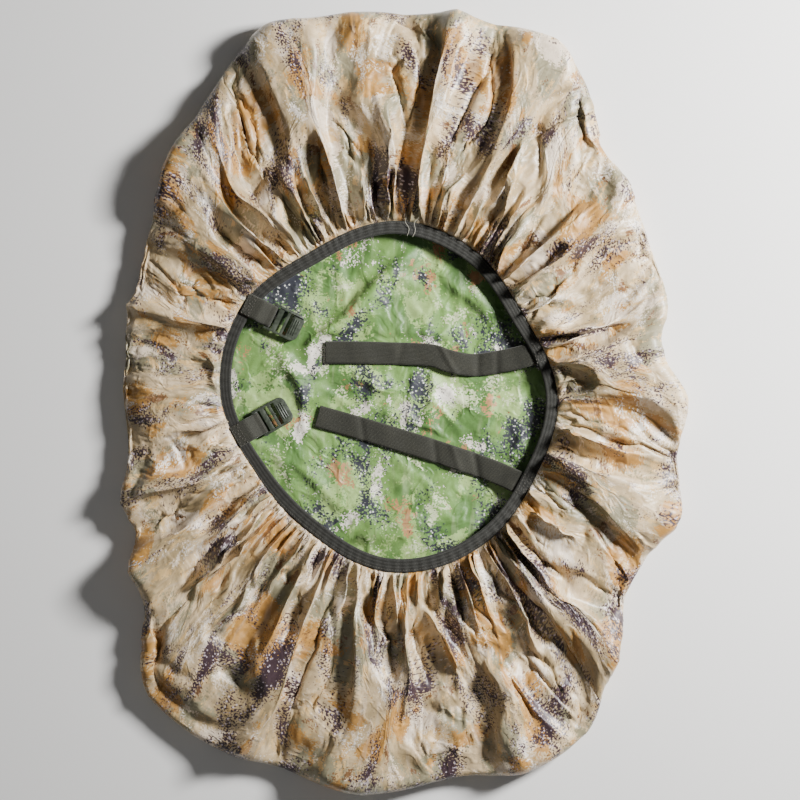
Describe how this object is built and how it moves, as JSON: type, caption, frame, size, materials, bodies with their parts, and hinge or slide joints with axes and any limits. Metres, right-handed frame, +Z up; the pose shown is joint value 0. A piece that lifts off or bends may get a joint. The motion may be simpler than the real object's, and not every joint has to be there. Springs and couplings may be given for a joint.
{
  "type": "rucksack rain cover",
  "caption": "Reversible camouflage rain cover for a rucksack, laid flat with its elasticated mouth up, with buckle tabs and loose straps at the rim.",
  "frame": {"origin": "on the floor under the middle of the laid-out cover", "axes": "+Y along the long side, towards the end that covers the top of the rucksack; +X to the side where the loose straps are sewn; +Z up, out of the mouth"},
  "size_m": [0.63, 0.8646, 0.0383],
  "materials": {
    "desert_cloth": "coated cloth with a slight sheen, tan, grey-green, orange-brown and dark purple-brown camouflage",
    "woodland_cloth": "coated cloth with a slight sheen, green, pale grey and navy camouflage",
    "binding_tape": "ribbed woven tape, dark grey",
    "elastic": "covered elastic, black",
    "webbing": "flat woven webbing, dark olive",
    "thread": "sewing thread, dark",
    "buckle_plastic": "moulded nylon, satin, grey-green"
  },
  "bodies": {
    "cover": {"base_panel": "woodland_cloth", "top_wall": "desert_cloth", "left_wall": "desert_cloth", "bottom_wall": "desert_cloth", "right_wall": "desert_cloth", "rim_binding": "binding_tape", "rim_elastic": "elastic", "upper_tab_root": "webbing", "lower_tab_root": "webbing", "upper_strap_root": "webbing", "lower_strap_root": "webbing", "upper_tab_stitches": "thread", "lower_tab_stitches": "thread", "upper_strap_stitches": "thread", "lower_strap_stitches": "thread"},
    "upper_tab": {"upper_tab": "webbing"},
    "lower_tab": {"lower_tab": "webbing"},
    "upper_buckle": {"upper_buckle": "buckle_plastic"},
    "lower_buckle": {"lower_buckle": "buckle_plastic"},
    "upper_strap": {"upper_strap": "webbing"},
    "lower_strap": {"lower_strap": "webbing"}
  },
  "joints": [
    {"name": "upper_tab_lift", "type": "hinge", "parent": "cover", "child": "upper_tab", "pos_m": [-0.15752, 0.10028, 0.0199], "axis": [-0.4384, -0.8988, 0], "range_deg": [0, 95]},
    {"name": "lower_tab_lift", "type": "hinge", "parent": "cover", "child": "lower_tab", "pos_m": [-0.16914, -0.03383, 0.0199], "axis": [0.5, -0.866, 0], "range_deg": [0, 95]},
    {"name": "upper_buckle_turn", "type": "hinge", "parent": "upper_tab", "child": "upper_buckle", "pos_m": [-0.14314, 0.09326, 0.0085], "axis": [-0.4384, -0.8988, 0], "range_deg": [0, 75]},
    {"name": "lower_buckle_turn", "type": "hinge", "parent": "lower_tab", "child": "lower_buckle", "pos_m": [-0.15528, -0.02584, 0.0085], "axis": [0.5, -0.866, 0], "range_deg": [0, 75]},
    {"name": "upper_strap_lift", "type": "hinge", "parent": "cover", "child": "upper_strap", "pos_m": [0.143, 0.05013, 0.0176], "axis": [-0.2756, 0.9613, 0], "range_deg": [0, 160]},
    {"name": "lower_strap_lift", "type": "hinge", "parent": "cover", "child": "lower_strap", "pos_m": [0.12779, -0.08973, 0.0176], "axis": [0.4226, 0.9063, 0], "range_deg": [0, 160]}
  ]
}
